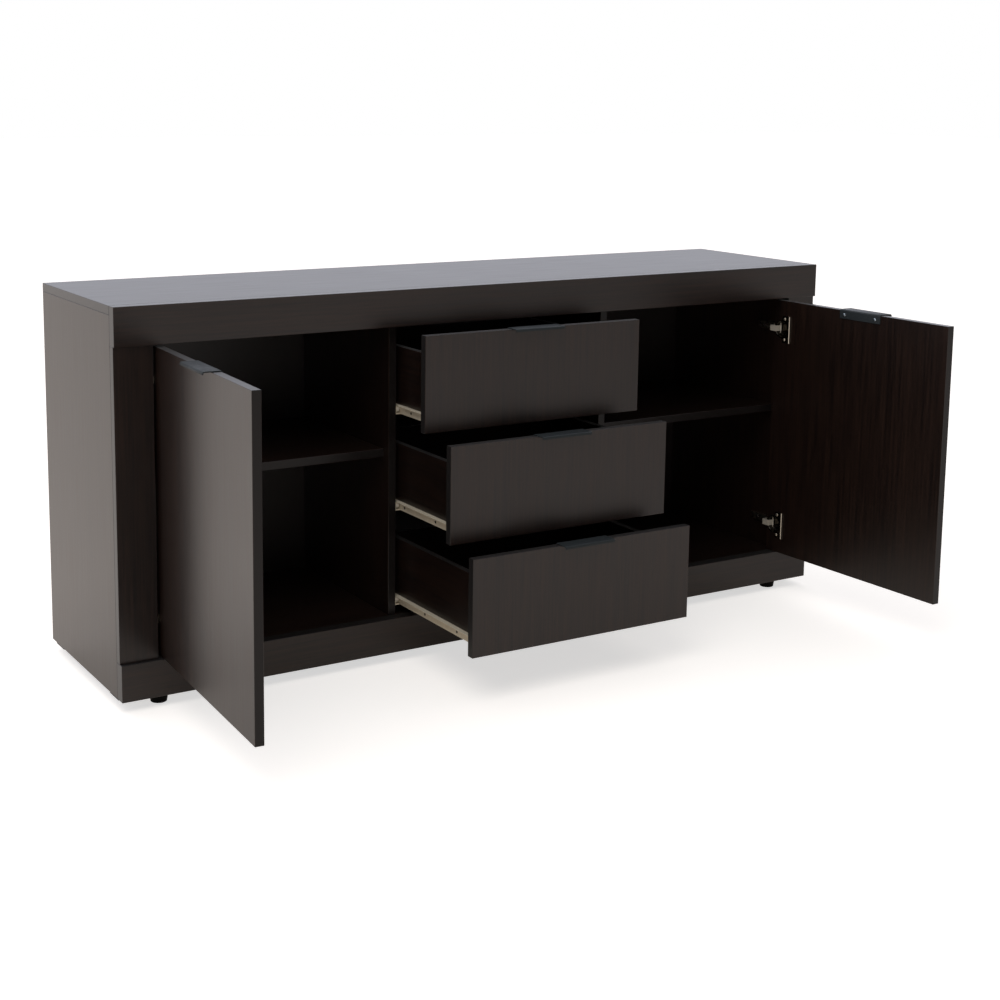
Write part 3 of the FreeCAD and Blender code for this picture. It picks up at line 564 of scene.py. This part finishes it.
def extruded(mesh, section, start, stop, place):
    """A bar of one section, given as Y and Z, from start to stop along its own X; gives its end faces."""
    ends = [[mesh.verts.new(place @ Vector((x, y, z))) for y, z in section] for x in (start, stop)]
    for step in range(len(section)):
        ahead = (step + 1) % len(section)
        mesh.faces.new((ends[0][ahead], ends[0][step], ends[1][step], ends[1][ahead]))
    return [mesh.faces.new(ends[0]), mesh.faces.new(reversed(ends[1]))]


def arc(centre, radius, start, stop, steps):
    """Points of a bend from one angle to another, in degrees."""
    turns = [math.radians(start + (stop - start) * step / steps) for step in range(steps + 1)]
    return [(centre[0] + radius * math.cos(turn), centre[1] + radius * math.sin(turn)) for turn in turns]


# Operators


class SIDEBOARD_OT_finishes(bpy.types.Operator):
    """Give every part of the frame the finish of its slot"""
    bl_idname = "sideboard.finishes"
    bl_label = "Finish the frame"

    def execute(self, context):
        settings = context.scene.sideboard
        make_finishes(settings.finishes, settings.hinges.neck_end)
        for entry in frame["record"]["subparts"]:
            materials = frame["nodes"][entry["node"]].data.materials
            materials.clear()
            materials.append(finishes[self.finish(entry["node"], entry["material_slot"])])
        return {"FINISHED"}

    def finish(self, name, slot):
        if slot == "hardboard":
            return "hardboard_back" if name == "back_panel" else "hardboard_tray"
        if slot == "dark_board":
            return next((kind for kind, names in BOARD_NAMES.items() if name in names), "upright_panel")
        return name if name in finishes else slot


class SIDEBOARD_OT_pulls(bpy.types.Operator):
    """Fold the five edge pulls and screw them to the backs of their fronts"""
    bl_idname = "sideboard.pulls"
    bl_label = "Pulls"

    def execute(self, context):
        settings = context.scene.sideboard
        for body in [f"{hand}_door" for hand in HANDS] + [f"{level}_drawer" for level in LEVELS]:
            low, high = closed_box(f"{body}_pull")
            self.fold(settings.pulls, body, low, high)
            self.fix(settings.pulls, body, low, high, settings.head_segments)
        return {"FINISHED"}

    def fold(self, pull, body, low, high):
        """A plate over the front's top edge: a back leaf, a top and a lip, with rounded folds."""
        outside, inside = pull.bend + pull.gauge, pull.bend
        rear = (high.y - outside, high.z - outside)
        nose = (low.y + outside, high.z - outside)
        section = [(high.y, low.z), *arc(rear, outside, 0, 90, BEND_STEPS),
                   *arc(nose, outside, 90, 180, BEND_STEPS),
                   (low.y, high.z - pull.lip), (low.y + pull.gauge, high.z - pull.lip),
                   *arc(nose, inside, 180, 90, BEND_STEPS), *arc(rear, inside, 90, 0, BEND_STEPS),
                   (high.y - pull.gauge, low.z)]
        mesh = bmesh.new()
        ends = extruded(mesh, section, low.x, high.x, Matrix.Identity(4))
        bmesh.ops.recalc_face_normals(mesh, faces=mesh.faces)
        edges = list({edge for face in ends for edge in face.edges})
        bmesh.ops.bevel(mesh, geom=edges, offset=pull.softness, offset_type="OFFSET", affect="EDGES",
                        segments=SOFT_SEGMENTS, profile=ROUND_PROFILE, material=-1)
        mesh.transform(opened(body))
        finished(f"{body}_folded_pull", mesh, "dark_pull", body, [f"{body}_pull"])

    def fix(self, pull, body, low, high, segments):
        """Two pan-head screws through the back leaf."""
        middle = (low.x + high.x) / 2
        mesh = bmesh.new()
        for across in (-pull.screw_span / 2, pull.screw_span / 2):
            spot = facing((middle + across, high.y, high.z - pull.screw_drop), BACKWARD)
            cross_screw(mesh, opened(body) @ spot, pull.screw_radius, pull.screw_height, segments)
        finished(f"{body}_pull_screws", mesh, "zinc_steel", body)


class SIDEBOARD_OT_hinge_cups(bpy.types.Operator):
    """Press the hinge cups with their screw flanges and rolled hems"""
    bl_idname = "sideboard.hinge_cups"
    bl_label = "Hinge cups"

    def execute(self, context):
        hinge = context.scene.sideboard.hinges
        for name, hand in HANDS.items():
            mesh, pots, door = bmesh.new(), bmesh.new(), opened(f"{name}_door")
            for height in hinge.heights:
                centre = Vector((hand * hinge.cup, hinge.door_face, height))
                self.draw_pot(pots, hinge, door @ facing(centre, BACKWARD))
                self.press(mesh, hinge, door, centre, hand)
            finished(f"{name}_pressed_flanges", mesh, "bright_nickel", f"{name}_door",
                     [f"{name}_hinge_cups"])
            # The pots take the darker nickel: painted shade inside the cups.
            finished(f"{name}_drawn_pots", pots, "drawn_steel", f"{name}_door")
        return {"FINISHED"}

    def draw_pot(self, mesh, hinge, place):
        """A pot with a rolled rim."""
        gauge, wall, outer, deep = hinge.gauge, hinge.cup_wall, hinge.cup_radius, -hinge.cup_depth
        inner = outer - wall
        pot = [(0, deep + wall), *arc((inner - wall, deep + 2 * wall), wall, -90, 0, BEND_STEPS), (inner, 0),
               *arc((inner + gauge, 0), gauge, 180, 90, BEND_STEPS), (hinge.cup_rim, gauge),
               (hinge.cup_rim, 0), (outer, 0),
               *arc((outer - gauge, deep + gauge), gauge, 0, -90, BEND_STEPS), (0, deep)]
        turned(mesh, pot, place, CUP_STEPS)

    def press(self, mesh, hinge, door, centre, hand):
        """A flange beside the pot's mouth that ends in a round hem."""
        gauge = hinge.gauge
        start, hem = hinge.flange
        half, mouth = hinge.flange_height / 2, hinge.cup_radius - hinge.cup_wall + gauge
        reach = math.degrees(math.acos(start / mouth))
        sheet = [(hem, -half), (hem, half), (start, half), *arc((0, 0), mouth, reach, -reach, MOUTH_STEPS),
                 (start, -half)]
        flat = Matrix(((0, -hand, 0, centre.x), (1, 0, 0, centre.y), (0, 0, 1, centre.z), (0, 0, 0, 1)))
        extruded(mesh, sheet, 0, gauge, door @ flat)
        roll = arc((hem, hinge.hem_radius), hinge.hem_radius, 0, 360 - 360 / HEM_STEPS, HEM_STEPS - 1)
        upright = Matrix(((0, -hand, 0, centre.x), (0, 0, 1, centre.y), (1, 0, 0, centre.z), (0, 0, 0, 1)))
        extruded(mesh, roll, -half, half, door @ upright)


class SIDEBOARD_OT_hinge_screws(bpy.types.Operator):
    """Screw the hinge cups to the doors and the plates and arms to the cabinet"""
    bl_idname = "sideboard.hinge_screws"
    bl_label = "Hinge screws"

    def execute(self, context):
        settings = context.scene.sideboard
        hinge, sides = settings.hinges, settings.head_segments
        fixed = bmesh.new()
        for name, hand in HANDS.items():
            hung, door = bmesh.new(), opened(f"{name}_door")
            for height in hinge.heights:
                beside, apart = hinge.cup_screws
                for rise in (-apart / 2, apart / 2):
                    point = (hand * (hinge.cup - beside), hinge.door_face + hinge.gauge, height + rise)
                    spot = door @ facing(point, BACKWARD)
                    cross_screw(hung, spot, hinge.screw_radius, hinge.screw_height, sides)
                for x, y in (hinge.plate_screw, *((hinge.arm_face, y) for y in hinge.arm_screws)):
                    spot = facing((hand * x, y, height), (-hand, 0, 0))
                    cross_screw(fixed, spot, hinge.screw_radius, hinge.screw_height, sides)
            finished(f"{name}_cup_screws", hung, "nickel_steel", f"{name}_door")
        finished("hinge_plate_screws", fixed, "black_screw", "cabinet")
        return {"FINISHED"}


class SIDEBOARD_OT_runner_screws(bpy.types.Operator):
    """Screw the rails to the partitions and the runners to the drawer sides"""
    bl_idname = "sideboard.runner_screws"
    bl_label = "Runner screws"

    def execute(self, context):
        settings = context.scene.sideboard
        runner, sides = settings.runners, settings.head_segments
        rails = bmesh.new()
        for level in LEVELS:
            body = f"{level}_drawer"
            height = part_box(f"{level}_drawer_front")[0].z + runner.lift
            webs = bmesh.new()
            for hand in HANDS.values():
                for y in runner.runner_screws:
                    spot = facing((hand * runner.web, y, height), (hand, 0, 0))
                    cross_screw(webs, opened(body) @ spot, runner.screw_radius, runner.screw_height, sides)
                for y in runner.rail_screws:
                    spot = facing((hand * runner.rail, y, height), (-hand, 0, 0))
                    cross_screw(rails, spot, runner.screw_radius, runner.screw_height, sides)
            finished(f"{level}_runner_screws", webs, "black_screw", body)
        finished("rail_screws", rails, "black_screw", "cabinet")
        return {"FINISHED"}


class SIDEBOARD_OT_feet(bpy.types.Operator):
    """Mould the four feet with their soft edges"""
    bl_idname = "sideboard.feet"
    bl_label = "Feet"

    def execute(self, context):
        foot = context.scene.sideboard.feet
        soft, hollow, top = foot.softness, foot.hollow, foot.height + foot.stud_length
        half = [(0, hollow), (foot.sole / 2, hollow), (foot.sole / 2 + hollow, 0),
                *arc((foot.sole - soft, soft), soft, -90, 0, BEND_STEPS), (foot.crown, foot.height),
                (foot.stud, foot.height), (foot.stud, top - soft), (foot.stud - soft, top), (0, top)]
        across, front, rear = foot.places
        mesh = bmesh.new()
        for hand in HANDS.values():
            for y in (front, rear):
                turned(mesh, half, Matrix.Translation((hand * across, y, 0)), FOOT_STEPS)
        finished("moulded_feet", mesh, "black_plastic", "cabinet", ["feet"])
        return {"FINISHED"}


class SIDEBOARD_OT_nails(bpy.types.Operator):
    """Nail the back panel to the partitions, the inner walls and the bottom panel"""
    bl_idname = "sideboard.nails"
    bl_label = "Back nails"

    def execute(self, context):
        nail = context.scene.sideboard.nails
        low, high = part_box("back_panel")
        dome = [(nail.radius * size, nail.height * rise) for size, rise in NAIL_RINGS]
        rows = int((high.z - low.z) / nail.spacing)
        spots = [(hand * column, low.z + nail.spacing * (row + 0.5))
                 for column in nail.columns for hand in HANDS.values() for row in range(rows)]
        across = int((high.x - low.x) / nail.spacing)
        spots += [(nail.spacing * (step - (across - 1) / 2), nail.sill) for step in range(across)]
        mesh = bmesh.new()
        for x, z in spots:
            turned(mesh, dome, facing((x, high.y, z), BACKWARD), NAIL_STEPS)
        finished("back_nails", mesh, "nickel_steel", "cabinet")
        return {"FINISHED"}


# How far back a direction leads where the front's light starts to give way, and where the back's is full
TURN_SHARES = (-0.6, 0.35)


class SIDEBOARD_OT_stage(bpy.types.Operator):
    """Set the floor, the surrounding light and the camera"""
    bl_idname = "sideboard.stage"
    bl_label = "Stage"

    def execute(self, context):
        stage = context.scene.sideboard.stage
        self.lay_floor(context.scene, stage)
        self.light(context.scene, stage)
        self.aim(context.scene, stage)
        context.scene.view_settings.view_transform = "Standard"
        return {"FINISHED"}

    def lay_floor(self, scene, stage):
        """Pale seamless floor: white where it is open, greyer where the cabinet shades it.

        The camera sees it white. What the cabinet mirrors is warmer and dimmer, dimmest in front.
        """
        mesh = bmesh.new()
        bmesh.ops.create_grid(mesh, x_segments=1, y_segments=1, size=stage.floor)
        data = bpy.data.meshes.new("floor")
        mesh.to_mesh(data)
        mesh.free()
        material, tree, skin, place = blank("white_floor")
        depth = node(tree, "ShaderNodeSeparateXYZ", {"Vector": place}).outputs["Y"]
        sheen = stretch(tree, depth, *stage.fade_reach, stage.floor_fade, stage.floor_sheen)
        seen = node(tree, "ShaderNodeLightPath").outputs["Is Camera Ray"]
        tree.links.new(between(tree, seen, sheen, stage.floor_glow), skin.inputs["Emission Strength"])
        tree.links.new(blend(tree, seen, stage.floor_light, WHITE), skin.inputs["Emission Color"])
        skin.inputs["Base Color"].default_value = stage.floor_tone
        skin.inputs["Roughness"].default_value = 1
        skin.inputs["Specular IOR Level"].default_value = 0
        data.materials.append(material)
        floor = bpy.data.objects.new("floor", data)
        scene.collection.objects.link(floor)

    def light(self, scene, stage):
        """White walls behind and beside the cabinet, a dimmer room in front, and a soft light above.

        The camera sees white all round.
        """
        world = bpy.data.worlds.new("studio")
        world.use_nodes = True
        scene.world = world
        tree = world.node_tree
        backdrop = tree.nodes["Background"]
        way = node(tree, "ShaderNodeTexCoord").outputs["Generated"]
        depth = node(tree, "ShaderNodeSeparateXYZ", {"Vector": way}).outputs["Y"]
        behind = stretch(tree, depth, *TURN_SHARES)
        surround = stretch(tree, behind, 0, 1, stage.front_level, stage.back_level)
        seen = node(tree, "ShaderNodeLightPath").outputs["Is Camera Ray"]
        colour = blend(tree, seen, blend(tree, behind, WHITE, stage.sky_tone), WHITE)
        tree.links.new(colour, backdrop.inputs["Color"])
        tree.links.new(between(tree, seen, surround, 1.0), backdrop.inputs["Strength"])
        lamp = bpy.data.lights.new("overhead_light", "AREA")
        lamp.energy, lamp.shape, lamp.size = stage.lamp_power, "DISK", stage.lamp_size
        holder = bpy.data.objects.new("overhead_light", lamp)
        middle = sum((Vector(corner) for corner in cad_bounds), Vector()) / 2
        holder.matrix_world = facing(stage.lamp, Vector(stage.lamp) - middle)
        scene.collection.objects.link(holder)

    def aim(self, scene, stage):
        """Stands the camera where the photograph was taken from."""
        lens = bpy.data.cameras.new("camera")
        lens.lens = stage.lens
        lens.shift_x, lens.shift_y = stage.shift
        run = math.cos(stage.dip)
        ahead = Vector((math.sin(stage.heading) * run, math.cos(stage.heading) * run, -math.sin(stage.dip)))
        look = ahead.to_track_quat("-Z", "Y").to_matrix().to_4x4()
        camera = bpy.data.objects.new("camera", lens)
        camera.matrix_world = Matrix.Translation(stage.eye) @ look @ Matrix.Rotation(stage.roll, 4, "Z")
        scene.collection.objects.link(camera)
        scene.camera = camera


class SIDEBOARD_PT_panel(bpy.types.Panel):
    bl_idname = "SIDEBOARD_PT_panel"
    bl_label = "Sideboard"
    bl_space_type = "VIEW_3D"
    bl_region_type = "UI"
    bl_category = "Sideboard"

    def draw(self, context):
        settings = context.scene.sideboard
        for operator in OPERATORS:
            self.layout.operator(operator.bl_idname)
        self.layout.prop(settings, "head_segments")
        for title in ("finishes", "pulls", "hinges", "runners", "feet", "nails", "stage"):
            group = getattr(settings, title)
            box = self.layout.box()
            box.label(text=title.capitalize())
            for name in group.__annotations__:
                box.prop(group, name)


OPERATORS = (SIDEBOARD_OT_finishes, SIDEBOARD_OT_pulls, SIDEBOARD_OT_hinge_cups, SIDEBOARD_OT_hinge_screws,
             SIDEBOARD_OT_runner_screws, SIDEBOARD_OT_feet, SIDEBOARD_OT_nails, SIDEBOARD_OT_stage)
CLASSES = (FinishSettings, PullSettings, HingeSettings, RunnerSettings, FootSettings, NailSettings,
           StageSettings, SideboardSettings, *OPERATORS, SIDEBOARD_PT_panel)


def register():
    for item in CLASSES:
        bpy.utils.register_class(item)
    bpy.types.Scene.sideboard = PointerProperty(type=SideboardSettings)


def unregister():
    del bpy.types.Scene.sideboard
    for item in reversed(CLASSES):
        bpy.utils.unregister_class(item)


def main():
    register()
    bpy.ops.sideboard.finishes()
    bpy.ops.sideboard.pulls()
    bpy.ops.sideboard.hinge_cups()
    bpy.ops.sideboard.hinge_screws()
    bpy.ops.sideboard.runner_screws()
    bpy.ops.sideboard.feet()
    bpy.ops.sideboard.nails()
    bpy.ops.sideboard.stage()


if __name__ == "__main__":
    main()
